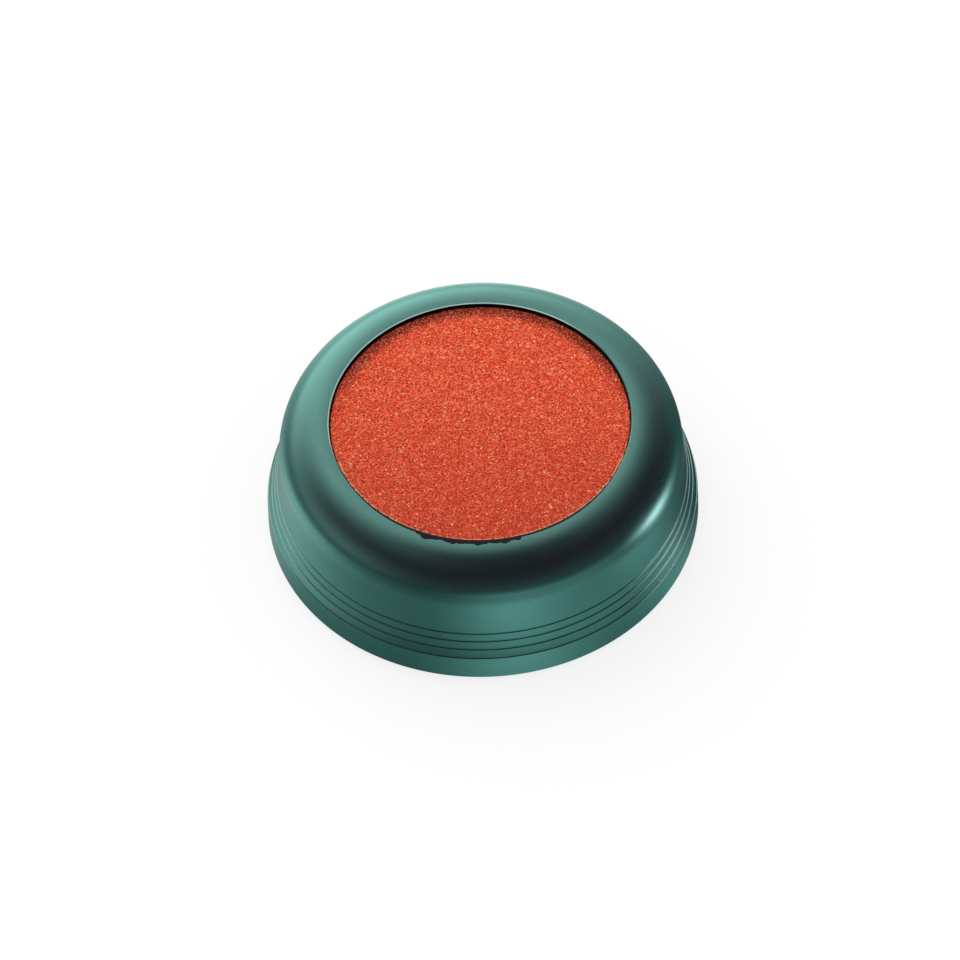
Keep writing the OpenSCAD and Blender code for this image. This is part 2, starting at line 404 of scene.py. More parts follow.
@dataclass(frozen=True)
class Foam(Finish):
    """Open-cell foam rubber, coloured by the depth, cell tone and rim that its mesh carries."""

    grain_per_metre: float = 2250.0
    grain_depth: float = 0.12 * MM
    drift_per_metre: float = 60.0
    # Painted shade in the pores, the deep cells and towards the front
    pore_shade: Colour = (0.3, 0.012, 0.002)
    pore_shade_share: float = 0.82
    deep_shade_share: float = 0.35
    front_shade_share: float = 0.34
    # Painted highlights on the cell walls and along thin ridges
    glint: Colour = (0.98, 0.27, 0.15)
    glint_share: float = 0.8
    ridge_glint_per_metre: float = 1050.0
    ridge_glint_patches_per_metre: float = 700.0
    ridge_glint_share: float = 0.75
    # Painted shadow on the far rim
    far_rim_shadow_shade: float = 0.14
    # Painted highlight along the near rim
    near_rim_highlight: Colour = (0.95, 0.5, 0.24)
    near_rim_highlight_share: float = 0.75
    # Painted highlights in a few sparks, where the surface is also smoother
    spark: Colour = (1.0, 0.5, 0.3)
    spark_per_metre: float = 1700.0
    spark_roughness: float = 0.3

    def detail(self, paint: Paint) -> None:
        """Painted shade darkens the pores, the deep cells and the front, cells differ in tone, and
        painted highlights light thin walls, ridges and sparks.

        A painted shadow darkens the far rim, and a painted highlight lightens the near one.

        Args:
            paint: The material's tree.
        """
        depth, cell, rim = (paint.attribute(n) for n in ("pore_depth", "cell_tone", "rim"))
        along = paint.parts(paint.where)[1]
        grain = paint.noise(self.grain_per_metre, 2.0, 0.55)
        drift = paint.noise(self.drift_per_metre, 3.0)
        tone = paint.blend(paint.spread(cell, 0.0, 1.0, 0.0, 0.2), self.colour, self.shade(0.8))
        tone = paint.blend(paint.spread(drift, 0.35, 0.65, 0.0, 0.12), tone, self.shade(1.12))
        # Painted shade in the pores
        shaded_pores = paint.spread(grain, 0.34, 0.53, self.pore_shade_share, 0.0)
        tone = paint.blend(shaded_pores, tone, self.pore_shade)
        # Painted highlights on the cell walls
        glints = paint.spread(grain, 0.54, 0.66, 0.0, self.glint_share)
        tone = paint.blend(glints, tone, self.glint)
        # Painted highlights along thin ridges, in patches
        ridge = paint.math("ABSOLUTE", paint.math(
            "SUBTRACT", paint.noise(self.ridge_glint_per_metre, 1.0), 0.5))
        patch = paint.noise(self.ridge_glint_patches_per_metre, 2.0)
        ridge_glints = paint.times(paint.spread(ridge, 0.012, 0.05, 1.0, 0.0),
                            paint.spread(patch, 0.42, 0.6, 0.0, self.ridge_glint_share))
        tone = paint.blend(ridge_glints, tone, self.glint)
        # Painted shade in the deep cells
        tone = paint.blend(paint.spread(depth, 0.25, 1.0, 0.0, self.deep_shade_share), tone, self.pore_shade)
        # Painted shade, darker towards the front
        front = paint.spread(along, -34 * MM, 20 * MM, self.front_shade_share, 0.0)
        tone = paint.blend(front, tone, self.pore_shade)
        # Painted shadow of the collar on the far rim, broken up by the grain
        far = paint.times(paint.spread(rim, 0.0, 0.75), paint.spread(along, 0.0, 24 * MM))
        far_rim_shadow = paint.math("MULTIPLY", far, paint.spread(grain, 0.38, 0.56, 1.35, 0.6), clamp=True)
        tone = paint.blend(far_rim_shadow, tone, self.shade(self.far_rim_shadow_shade))
        # Painted highlight along the near rim
        near_rim_highlight = paint.times(paint.spread(rim, 0.85, 0.92, 0.0, self.near_rim_highlight_share),
                            paint.spread(along, -14 * MM, -4 * MM, 1.0, 0.0))
        tone = paint.blend(near_rim_highlight, tone, self.near_rim_highlight)
        # Painted highlights on shallow cells, away from the far rim's painted shadow
        lit = paint.times(paint.spread(paint.noise(self.spark_per_metre, 1.0), 0.655, 0.74),
                          paint.spread(depth, 0.3, 0.8, 1.0, 0.0))
        lit = paint.times(lit, paint.math("SUBTRACT", 1.0, far_rim_shadow))
        paint.set("Base Color", paint.blend(lit, tone, self.spark))
        paint.set("Roughness", paint.spread(lit, 0.0, 1.0, self.roughness, self.spark_roughness))
        paint.set("Normal", paint.bump(grain, self.grain_depth))


@dataclass(frozen=True)
class Moulded(Finish):
    """Moulded plastic with a fine spark-eroded grain and faint flow marks."""

    grain_per_metre: float = 2600.0
    grain_depth: float = 0.02 * MM
    flow_per_metre: float = 48.0

    def detail(self, paint: Paint) -> None:
        """A fine grain roughens the surface, and slow flow marks vary its tone.

        Args:
            paint: The material's tree.
        """
        flow = paint.spread(paint.noise(self.flow_per_metre, 4.0), 0.3, 0.7)
        paint.set("Base Color", paint.blend(flow, self.colour, self.shade(1.25)))
        grain = paint.noise(self.grain_per_metre, 3.0)
        paint.set("Roughness", paint.spread(grain, 0.3, 0.7, self.roughness * 0.85,
                                            self.roughness * 1.15))
        paint.set("Normal", paint.bump(grain, self.grain_depth))


@dataclass(frozen=True)
class Turned(Finish):
    """Turned or rolled steel: fine rings round the piece's axis, with a few dull patches.

    The ring rate is in radians per metre.
    """

    ring_rate: float = 5200.0
    ring_depth: float = 0.01 * MM
    patch_per_metre: float = 120.0

    def detail(self, paint: Paint) -> None:
        """Rings follow the distance from the axis, and dull patches drift over them.

        Args:
            paint: The material's tree.
        """
        patch = paint.noise(self.patch_per_metre, 3.0)
        dull = paint.spread(patch, 0.35, 0.7, 0.0, 0.8)
        paint.set("Base Color", paint.blend(dull, self.colour, self.shade(0.7)))
        paint.set("Roughness", paint.spread(patch, 0.3, 0.7, self.roughness * 0.8,
                                            self.roughness * 1.3))
        rings = paint.math("SINE", paint.times(paint.radius(), self.ring_rate))
        paint.set("Normal", paint.bump(rings, self.ring_depth))


GREEN_LACQUER = Lacquer("green_metallic_lacquer", Slot.LACQUER, (0.058, 0.206, 0.182),
                        metallic=0.97, roughness=0.28, coat=0.26, coat_roughness=0.2,
                        sheen=0.03, edge=(0.5, 0.86, 0.82))
ORANGE_FOAM = Foam("orange_sponge_rubber", Slot.FOAM, (0.92, 0.082, 0.019), roughness=0.7,
                   specular=0.2)
DARK_MOULDING = Moulded("dark_moulded_plastic", Slot.DARK_PLASTIC, (0.03, 0.033, 0.035),
                        roughness=0.5)
PALE_MOULDING = Moulded("pale_moulded_plastic", Slot.TRAY, (0.66, 0.67, 0.66), roughness=0.42)
BLACK_RUBBER = Moulded("black_rubber", Slot.RUBBER, (0.018, 0.018, 0.02), roughness=0.8,
                       specular=0.35, grain_per_metre=1700.0, grain_depth=0.04 * MM)
BALLAST_STEEL = Turned("ballast_steel", Slot.BALLAST, (0.42, 0.43, 0.44), metallic=1.0,
                       roughness=0.45)
SCREW_STEEL = Turned("zinc_plated_screw", Slot.SCREW, (0.62, 0.62, 0.63), metallic=1.0,
                     roughness=0.28, ring_rate=900.0)


# Mesh helpers


def arc(centre: Point, radius: float, start: float, end: float, step: float) -> list[Point]:
    """Points along an arc in the section plane, both ends included.

    Args:
        centre: The arc's centre, as distance from the axis and height.
        radius: The arc's radius.
        start: The angle that it starts at, in radians, counted from the outward direction.
        end: The angle that it ends at.
        step: The longest distance between two points.

    Returns:
        The points in order.
    """
    count = max(2, math.ceil(abs(end - start) * radius / step))
    angles = [start + (end - start) * i / count for i in range(count + 1)]
    return [(centre[0] + radius * math.cos(a), centre[1] + radius * math.sin(a)) for a in angles]


def circle(radius: object, height: object, turns: np.ndarray) -> np.ndarray:
    """Points round the axis, with one radius and height for all or one for each angle."""
    across, along = radius * np.cos(turns), radius * np.sin(turns)
    return np.column_stack([across, along, np.zeros(len(turns)) + height])


def walls(rings: int, count: int) -> np.ndarray:
    """The faces that join each ring of points to the next one.

    Args:
        rings: How many rings there are.
        count: How many points each ring has.

    Returns:
        The corners of each face.
    """
    here = np.arange(count)
    ahead = (here + 1) % count
    return np.concatenate([np.stack([here, ahead, ahead + count, here + count], 1) + k * count
                           for k in range(rings - 1)])


def mesh_piece(name: str, places: Sequence, edges: Sequence = (),
               faces: Sequence = ()) -> bpy.types.Object:
    """Makes a mesh and puts it in the scene at the origin.

    Args:
        name: The object's name.
        places: Its points.
        edges: Its loose edges.
        faces: Its faces.

    Returns:
        The object.
    """
    mesh = bpy.data.meshes.new(name)
    mesh.from_pydata(places, edges, faces)
    made = bpy.data.objects.new(name, mesh)
    bpy.context.scene.collection.objects.link(made)
    return made


def carry(mesh: bpy.types.Mesh, **numbers: np.ndarray) -> None:
    """Stores numbers on a mesh's points for its material.

    Args:
        mesh: The mesh.
        **numbers: One number for each point, by attribute name.
    """
    for name, values in numbers.items():
        stored = mesh.attributes.new(name, "FLOAT", "POINT")
        stored.data.foreach_set("value", values.astype(np.float32))


def outward(mesh: bpy.types.Mesh, crease: float) -> None:
    """Merges doubles, turns faces outwards, and smooths all but the sharp edges.

    Args:
        mesh: A closed mesh.
        crease: The angle in degrees above which an edge stays sharp.
    """
    work = bmesh.new()
    work.from_mesh(mesh)
    bmesh.ops.remove_doubles(work, verts=work.verts, dist=1e-7)
    bmesh.ops.recalc_face_normals(work, faces=work.faces)
    work.to_mesh(mesh)
    work.free()
    mesh.shade_smooth()
    mesh.set_sharp_from_angle(angle=math.radians(crease))


def flatten(piece: bpy.types.Object) -> None:
    """Runs an object's modifiers and leaves the result as its plain mesh.

    Args:
        piece: The object.
    """
    graph = bpy.context.evaluated_depsgraph_get()
    graph.update()
    made = bpy.data.meshes.new_from_object(piece.evaluated_get(graph))
    piece.modifiers.clear()
    piece.data = made


class NodeTool:
    """A geometry tree on an object, used once to make a plain mesh."""

    def __init__(self, name: str, **inputs: str) -> None:
        """Makes an empty tree with its named inputs.

        Args:
            name: The tree's name.
            **inputs: The kind of each input after the geometry, by name.
        """
        self.tree = bpy.data.node_groups.new(name, "GeometryNodeTree")
        faces = self.tree.interface
        for way in ("INPUT", "OUTPUT"):
            faces.new_socket("Geometry", in_out=way, socket_type="NodeSocketGeometry")
        for label, kind in (inputs | {"Material": "Material"}).items():
            faces.new_socket(label, in_out="INPUT", socket_type="NodeSocket" + kind)
        self.board = Board(self.tree)
        self.given = self.board.add("NodeGroupInput").outputs

    def spin(self, vector: Socket, angle: Socket) -> Socket:
        """A vector turned round the Z axis."""
        return self.board.add("ShaderNodeVectorRotate", {"Vector": vector, "Angle": angle},
                              rotation_type="Z_AXIS").outputs[0]

    def close(self, geometry: Socket) -> None:
        """Ends the tree with Realize Instances and Set Material.

        Args:
            geometry: The geometry that the tree has made.
        """
        real = self.board.add("GeometryNodeRealizeInstances", {0: geometry})
        dress = self.board.add("GeometryNodeSetMaterial", {"Geometry": real.outputs[0],
                                                           "Material": self.given["Material"]})
        self.board.add("NodeGroupOutput", {0: dress.outputs[0]})

    def apply(self, piece: bpy.types.Object, **values: object) -> None:
        """Runs the tree on an object and leaves the result as its plain mesh.

        Args:
            piece: The object whose mesh the tree starts from.
            **values: The inputs, by name.
        """
        modifier = piece.modifiers.new(self.tree.name, "NODES")
        modifier.node_group = self.tree
        for item in self.tree.interface.items_tree:
            if item.in_out == "INPUT" and item.name in values:
                modifier[item.identifier] = values[item.name]
        flatten(piece)


def lathe_tool() -> NodeTool:
    """Builds a tree that turns a closed section round the Z axis.

    Returns:
        The tree.
    """
    tool = NodeTool("turned_section", Steps="Int")
    board, given = tool.board, tool.given
    size = board.add("GeometryNodeAttributeDomainSize", {0: given["Geometry"]}, component="MESH")
    points = size.outputs["Point Count"]
    row = board.math("ADD", points, 1.0)
    grid = board.add("GeometryNodeMeshGrid", {
        "Vertices X": board.math("ADD", given["Steps"], 1.0), "Vertices Y": row})
    index = board.add("GeometryNodeInputIndex").outputs[0]
    # The grid counts its points along Y first
    place = board.math("MODULO", board.math("MODULO", index, row), points)
    turn = board.math("FLOOR", board.math("DIVIDE", board.math("ADD", index, 0.5), row))
    sample = board.add("GeometryNodeSampleIndex", {
        "Geometry": given["Geometry"], "Index": place,
        "Value": board.add("GeometryNodeInputPosition").outputs[0]},
        data_type="FLOAT_VECTOR", domain="POINT")
    angle = board.times(board.math("DIVIDE", turn, given["Steps"]), TAU)
    move = board.add("GeometryNodeSetPosition", {
        "Geometry": grid.outputs["Mesh"], "Position": tool.spin(sample.outputs[0], angle)})
    weld = board.add("GeometryNodeMergeByDistance", {"Geometry": move.outputs[0],
                                                     "Distance": 1e-6})
    tool.close(weld.outputs[0])
    return tool


def ring_tool() -> NodeTool:
    """Builds a tree that repeats a mesh at even steps round the Z axis.

    Returns:
        The tree.
    """
    tool = NodeTool("ring_of_copies", Copies="Int", Radius="Float", Start="Float")
    board, given = tool.board, tool.given
    line = board.add("GeometryNodeMeshLine", {"Count": given["Copies"]})
    index = board.add("GeometryNodeInputIndex").outputs[0]
    share = board.math("DIVIDE", index, given["Copies"])
    angle = board.math("ADD", board.times(share, TAU), given["Start"])
    arm = board.add("ShaderNodeCombineXYZ", {0: given["Radius"]}).outputs[0]
    move = board.add("GeometryNodeSetPosition", {
        "Geometry": line.outputs[0], "Position": tool.spin(arm, angle)})
    turn = board.add("ShaderNodeCombineXYZ", {2: angle}).outputs[0]
    copies = board.add("GeometryNodeInstanceOnPoints", {
        "Points": move.outputs[0], "Instance": given["Geometry"], "Rotation": turn})
    tool.close(copies.outputs[0])
    return tool


def turned(name: str, section: list[Point], finish: Finish, steps: int = 384,
           crease: float = 24.0) -> bpy.types.Object:
    """Turns a closed section into a ring-shaped or solid piece.

    Args:
        name: The piece's name.
        section: The section's points in order, as distance from the axis and height.
        finish: Its finish.
        steps: The number of steps round the axis.
        crease: The angle in degrees above which an edge stays sharp.

    Returns:
        The piece.
    """
    count = len(section)
    piece = mesh_piece(name, [(r, 0.0, z) for r, z in section],
                       edges=[(i, (i + 1) % count) for i in range(count)])
    lathe_tool().apply(piece, Steps=steps, Material=finish.material())
    outward(piece.data, crease)
    return piece


@dataclass(frozen=True)
class ScrewCircle:
    """Where the base screws stand: evenly round the axis, the first one at the back."""

    count: int = 3
    radius: float = 41.5 * MM
    start: float = QUARTER

    def centres(self) -> list[Vector]:
        """The places themselves, at height 0."""
        turns = [TAU * i / self.count + self.start for i in range(self.count)]
        return [Vector((math.cos(t), math.sin(t), 0.0)) * self.radius for t in turns]

    def repeat(self, name: str, rings: list[np.ndarray], finish: Finish,
               crease: float) -> bpy.types.Object:
        """Closes rings of points to a solid round the axis and puts a copy at each place.

        Args:
            name: The piece's name.
            rings: The rings in order, each with the same number of points.
            finish: The piece's finish.
            crease: The angle in degrees above which an edge stays sharp.

        Returns:
            The copies as one piece.
        """
        count = len(rings[0])
        last = (len(rings) - 1) * count
        ends = [list(range(count)), list(range(last, last + count))]
        piece = mesh_piece(name, np.concatenate(rings).tolist(),
                           faces=walls(len(rings), count).tolist() + ends)
        ring_tool().apply(piece, Copies=self.count, Radius=self.radius, Start=self.start,
                          Material=finish.material())
        outward(piece.data, crease)
        return piece


SCREW_CIRCLE = ScrewCircle()


def settle(piece: bpy.types.Object, body: Body, finish: Finish, *nodes: str) -> None:
    """Gives a piece its body, hides the CAD nodes that it stands for, and logs its face count.

    Args:
        piece: The finished piece.
        body: The body that it rides on.
        finish: Not used.
        *nodes: The CAD nodes that it replaces.
    """
    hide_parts(*nodes)
    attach(piece, body.value)
    LOG.info("%s: %d faces", piece.name, len(piece.data.polygons))


# Sub-assemblies


@dataclass
class Bell:
    """The bell shell: foot band, grooved flare, waist, shoulder, crown and turned-in collar."""

    flare_out: float = 3.1 * MM
    shoulder_radius: float = 10.7 * MM
    waist_height: float = 1.9 * MM
    flare_radius: float = 31.0 * MM
    band_radius: float = 4.0 * MM
    foot_corner: float = 0.8 * MM
    wall: float = 2.0 * MM
    lip_inset: float = 1.3 * MM
    lip_radius: float = 0.5 * MM
    collar_depth: float = 5.0 * MM
    collar_wall: float = 1.8 * MM
    ceiling_angle: float = 1.2
    groove_count: int = 4
    groove_drop: float = 6.7 * MM
    groove_pitch: float = 2.1 * MM
    groove_width: float = 0.5 * MM
    groove_depth: float = 0.17 * MM
    groove_steps: int = 12
    boss_radius: float = 3.2 * MM
    boss_foot: float = 5.2 * MM
    boss_steps: int = 48
    pilot_radius: float = 1.5 * MM
    pilot_depth: float = 9.5 * MM
    step: float = 0.3 * MM
    finish: Lacquer = GREEN_LACQUER

    def __post_init__(self) -> None:
        """Works out the section's centres from the shell's own box."""
        low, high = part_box("shell")
        self.foot_radius = high[0]
        self.foot = low[2]
        self.crown = high[2]
        self.waist_radius = self.foot_radius - self.flare_out
        self.shoulder = (self.waist_radius - self.shoulder_radius,
                         self.crown - self.shoulder_radius)
        self.flare = (self.waist_radius + self.flare_radius,
                      self.shoulder[1] - self.waist_height)
        band_x = self.foot_radius - self.band_radius
        reach = self.flare_radius + self.band_radius
        across = self.flare[0] - band_x
        rise = math.sqrt(reach * reach - across * across)
        self.band = (band_x, self.flare[1] - rise)
        self.lean = math.atan2(rise, across)
        self.opening_radius = self.shoulder[0] - self.lip_inset
        top = self.flare[1] - self.groove_drop
        self.groove_heights = [top - i * self.groove_pitch
                               for i in reversed(range(self.groove_count))]

    def skirt(self, inset: float, step: float) -> list[Point]:
        """The band's rounding and the flare, from the band up to the waist.

        Args:
            inset: How far inside the outer face it runs.
            step: The longest distance between two points.

        Returns:
            The points in order.
        """
        rounding = arc(self.band, self.band_radius - inset, 0.0, self.lean, step)
        hollow = arc(self.flare, self.flare_radius + inset, math.pi + self.lean, math.pi, step)
        return rounding + hollow[1:]

    def grooved(self, curve: list[Point]) -> list[Point]:
        """Cuts the fine grooves into the skirt's outer curve.

        Args:
            curve: The skirt's points, from below.

        Returns:
            The points with a round-bottomed dip at each groove.
        """
        half = self.groove_width / 2
        made: list[Point] = []
        rows = np.array(curve)
        for height in self.groove_heights:
            centre = (float(np.interp(height, rows[:, 1], rows[:, 0])), height)
            above = float(np.interp(height + half, rows[:, 1], rows[:, 0]))
            lean = math.atan2(centre[0] - above, half)
            along = (-math.sin(lean), math.cos(lean))
            out = (math.cos(lean), math.sin(lean))
            floor = made[-1][1] if made else -1.0
            made += [p for p in curve if floor + self.step / 3 < p[1] < height - half * 1.2]
            for i in range(self.groove_steps + 1):
                turn = math.pi * i / self.groove_steps
                made.append(tuple(centre[k] - half * math.cos(turn) * along[k]
                                  - self.groove_depth * math.sin(turn) * out[k]
                                  for k in (0, 1)))
        made += [p for p in curve if p[1] > made[-1][1] + self.step / 3]
        return made

    def section(self) -> list[Point]:
        """The closed section of the shell.

        Returns:
            Its points, anticlockwise from the foot.
        """
        foot = arc((self.foot_radius - self.foot_corner, self.foot + self.foot_corner),
                   self.foot_corner, -QUARTER, 0.0, self.step / 3)
        outer = self.grooved(self.skirt(0.0, self.step))
        shoulder = arc(self.shoulder, self.shoulder_radius, 0.0, QUARTER, self.step)
        lip = arc((self.opening_radius + self.lip_radius, self.crown - self.lip_radius),
                  self.lip_radius, QUARTER, math.pi, self.step / 6)
        collar_foot = self.crown - self.collar_depth
        collar_out = self.opening_radius + self.collar_wall
        ceiling = self.crown - self.wall
        collar = [(self.opening_radius, collar_foot), (collar_out, collar_foot),
                  (collar_out, ceiling - self.wall)]
        inner = arc(self.shoulder, self.shoulder_radius - self.wall, self.ceiling_angle, 0.0,
                    self.step * 3)
        hollow = list(reversed(self.skirt(self.wall, self.step * 3)))
        inside = [(self.foot_radius - self.wall, self.foot)]
        return foot + outer + shoulder + lip + collar + inner + hollow + inside

    def bosses(self) -> bpy.types.Object:
        """Makes the tubes that the base screws cut their thread in.

        Returns:
            The tubes as one piece.
        """
        turns = np.arange(self.boss_steps) * TAU / self.boss_steps
        edge = self.boss_radius / 12
        foot, bore_top = self.boss_foot, self.boss_foot + self.pilot_depth
        rings = [circle(radius, height, turns) for radius, height in (
            (PINPOINT, bore_top), (self.pilot_radius, bore_top), (self.pilot_radius, foot + edge),
            (self.pilot_radius + edge, foot), (self.boss_radius - edge, foot),
            (self.boss_radius, foot + edge))]
        # Each tube ends in the middle of the wall above it
        middle = self.shoulder_radius - self.wall / 2
        for reach in (self.boss_radius, self.boss_radius / 2, 0.0):
            out = np.hypot(SCREW_CIRCLE.radius + reach * np.cos(turns), reach * np.sin(turns))
            rise = np.sqrt(np.maximum(0.0, middle ** 2 - (out - self.shoulder[0]) ** 2))
            rings.append(circle(max(reach, PINPOINT), self.shoulder[1] + rise, turns))
        return SCREW_CIRCLE.repeat("screw_bosses", rings, self.finish, crease=40.0)

    def mark_grooves(self, mesh: bpy.types.Mesh) -> None:
        """Stores how near each point lies to the floor and to the lower lip of a groove.

        Args:
            mesh: The shell's mesh.
        """
        places = np.empty(len(mesh.vertices) * 3)
        mesh.vertices.foreach_get("co", places)
        places = places.reshape(-1, 3)
        radius = np.hypot(places[:, 0], places[:, 1])
        rows = np.array(self.skirt(0.0, self.step))
        skin = np.interp(places[:, 2], rows[:, 1], rows[:, 0])
        sunk = np.clip((skin - radius) / self.groove_depth, 0.0, 1.0)
        sunk[radius < skin - self.groove_width] = 0.0
        lips = np.array(self.groove_heights) - self.groove_width / 2
        near = np.abs(places[:, 2][:, None] - lips).min(1)
        near[np.abs(radius - skin) > self.groove_width] = self.groove_width
        lip = np.clip(1.0 - near / (self.groove_width / 2), 0.0, 1.0)
        carry(mesh, groove_floor=sunk, groove_lip=lip)

    def build(self) -> None:
        """Makes the shell and its screw bosses."""
        shell = turned("bell_shell", self.section(), self.finish)
        self.mark_grooves(shell.data)
        settle(shell, Body.HOLDER, self.finish, "shell")
        settle(self.bosses(), Body.HOLDER, self.finish, "shell")


@dataclass
class Sponge:
    """The round sponge: a fine open-cell surface on a plain disc.

    The hash numbers give each cell its own place and tone, the same in each run.
    """

    grid: int = 380
    edge_rows: int = 8
    side_rows: int = 44
    cell: float = 0.8 * MM
    pore_depth: float = 0.2 * MM
    pore_walls: float = 2.2
    edge_radius: float = 0.35 * MM
    swell: float = 0.22 * MM
    rim_width: float = 4.2 * MM
    rim_depth: float = 0.55 * MM
    rim_fade: float = 0.4 * MM
    squash_travel: float = 3.0 * MM
    seed: int = 71
    hash_steps: tuple[int, int, int] = (73856093, 19349663, 83492791)
    hash_turns: tuple[float, float, float] = (0.0127, 0.0231, 0.0371)
    hash_scale: float = 43758.5453
    finish: Foam = ORANGE_FOAM

    def __post_init__(self) -> None:
        """Takes the disc's size from its own box."""
        low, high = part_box("sponge")
        self.radius = high[0] + self.swell
        self.bottom, self.top = low[2], high[2]

    def disc(self) -> np.ndarray:
        """Maps a square grid evenly onto the flat disc inside the rounded edge.

        Returns:
            The places of the grid's points.
        """
        line = np.linspace(-1.0, 1.0, self.grid + 1)
        a, b = np.meshgrid(line, line, indexing="ij")
        wide = np.abs(a) >= np.abs(b)
        reach = np.where(wide, a, b)
        with np.errstate(divide="ignore", invalid="ignore"):
            ratio = np.where(wide, b / a, a / b)
        ratio = np.nan_to_num(ratio)
        turn = np.where(wide, ratio * QUARTER / 2, QUARTER - ratio * QUARTER / 2)
        flat = self.radius - self.edge_radius
        return np.stack([reach * np.cos(turn), reach * np.sin(turn)], -1) * flat

    def border(self) -> np.ndarray:
        """Finds the grid's border.

        Returns:
            The numbers of its points, in order round the disc.
        """
        n = self.grid
        first = [(i, 0) for i in range(n)] + [(n, i) for i in range(n)]
        second = [(n - i, n) for i in range(n)] + [(0, n - i) for i in range(n)]
        return np.array([i * (n + 1) + j for i, j in first + second])

    def cells(self, points: np.ndarray) -> tuple[np.ndarray, np.ndarray]:
        """Cell noise: how deep each point lies in a pore, and a tone for its cell.

        Args:
            points: Points on the plain disc.

        Returns:
            The depth and the tone of each point, both from 0 to 1.
        """
        scaled = points / self.cell
        base = np.floor(scaled).astype(np.int64)
        near = np.full(len(points), 9.0)
        second = np.full(len(points), 9.0)
        tone = np.zeros(len(points))
        for offset in product((-1, 0, 1), repeat=3):
            key = base + np.array(offset)
            mixed = (key * np.array(self.hash_steps)).sum(1) + self.seed
            jitter = [np.modf(np.abs(np.sin(mixed * turn) * self.hash_scale))[0]
                      for turn in self.hash_turns]
            gap = np.linalg.norm(key + np.stack(jitter, 1) - scaled, axis=1)
            closer = gap < near
            second = np.where(closer, near, np.minimum(second, gap))
            tone = np.where(closer, jitter[0], tone)
            near = np.where(closer, gap, near)
        depth = np.clip((second - near) * self.pore_walls, 0.0, 1.0)
        return depth * depth * (3.0 - 2.0 * depth), tone

    def build(self) -> None:
        top = self.disc().reshape(-1, 2)
        count, n = len(top), self.grid
        points = [np.column_stack([top, np.full(count, self.top)])]
        normals = [np.tile([0.0, 0.0, 1.0], (count, 1))]
        border = self.border()
        rows = [np.arange(n) + i * (n + 1) for i in range(n)]
        faces = [np.stack([row, row + n + 1, row + n + 2, row + 1], 1) for row in rows]
        heading = np.arctan2(top[border, 1], top[border, 0])
        flat = self.radius - self.edge_radius
        wall_top = self.top - self.edge_radius
        # Each level's radius and height, and how far its points face outwards and upwards
        levels = [(flat + self.edge_radius * math.sin(a), wall_top + self.edge_radius * math.cos(a),
                   math.sin(a), math.cos(a))
                  for a in (QUARTER * i / self.edge_rows for i in range(1, self.edge_rows + 1))]
        levels += [(self.radius, wall_top - (wall_top - self.bottom) * i / self.side_rows, 1.0, 0.0)
                   for i in range(1, self.side_rows + 1)]
        levels += [(self.radius * share, self.bottom, 0.0, 0.0) for share in (0.97, 0.5)]
        points += [circle(radius, height, heading) for radius, height, _, _ in levels]
        normals += [circle(side, up, heading) for _, _, side, up in levels]
        here = np.arange(len(border)) + count
        faces.append(np.stack([border, np.roll(border, -1), np.roll(here, -1), here], 1))
        faces.append(walls(len(levels), len(border)) + count)
        last = here + (len(levels) - 1) * len(border)
        places = np.concatenate(points)
        directions = np.concatenate(normals)
        depth, tone = self.cells(places)
        lowest = np.isclose(places[:, 2], self.bottom)
        directions[lowest] = 0.0
        places = places - directions * (depth * self.pore_depth)[:, None]
        places = np.vstack([places, [0.0, 0.0, self.bottom]])
        depth, tone = np.append(depth, 0.5), np.append(tone, 0.5)
        fan = np.stack([last, np.roll(last, -1), np.full(len(last), len(places) - 1)], 1)
        piece = mesh_piece("foam_sponge", places.tolist(),
                           faces=np.concatenate(faces).tolist() + fan.tolist())
        out = np.hypot(places[:, 0], places[:, 1])
        rim = np.clip((out - self.radius + self.rim_width) / self.rim_width, 0.0, 1.0)
        rim *= np.clip((places[:, 2] - self.top + self.rim_depth) / self.rim_fade, 0.0, 1.0)
        carry(piece.data, pore_depth=depth, cell_tone=tone, rim=rim)
        outward(piece.data, 80.0)
        piece.data.materials.append(self.finish.material())
        settle(piece, Body.SPONGE, self.finish, "sponge")
        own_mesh(piece)


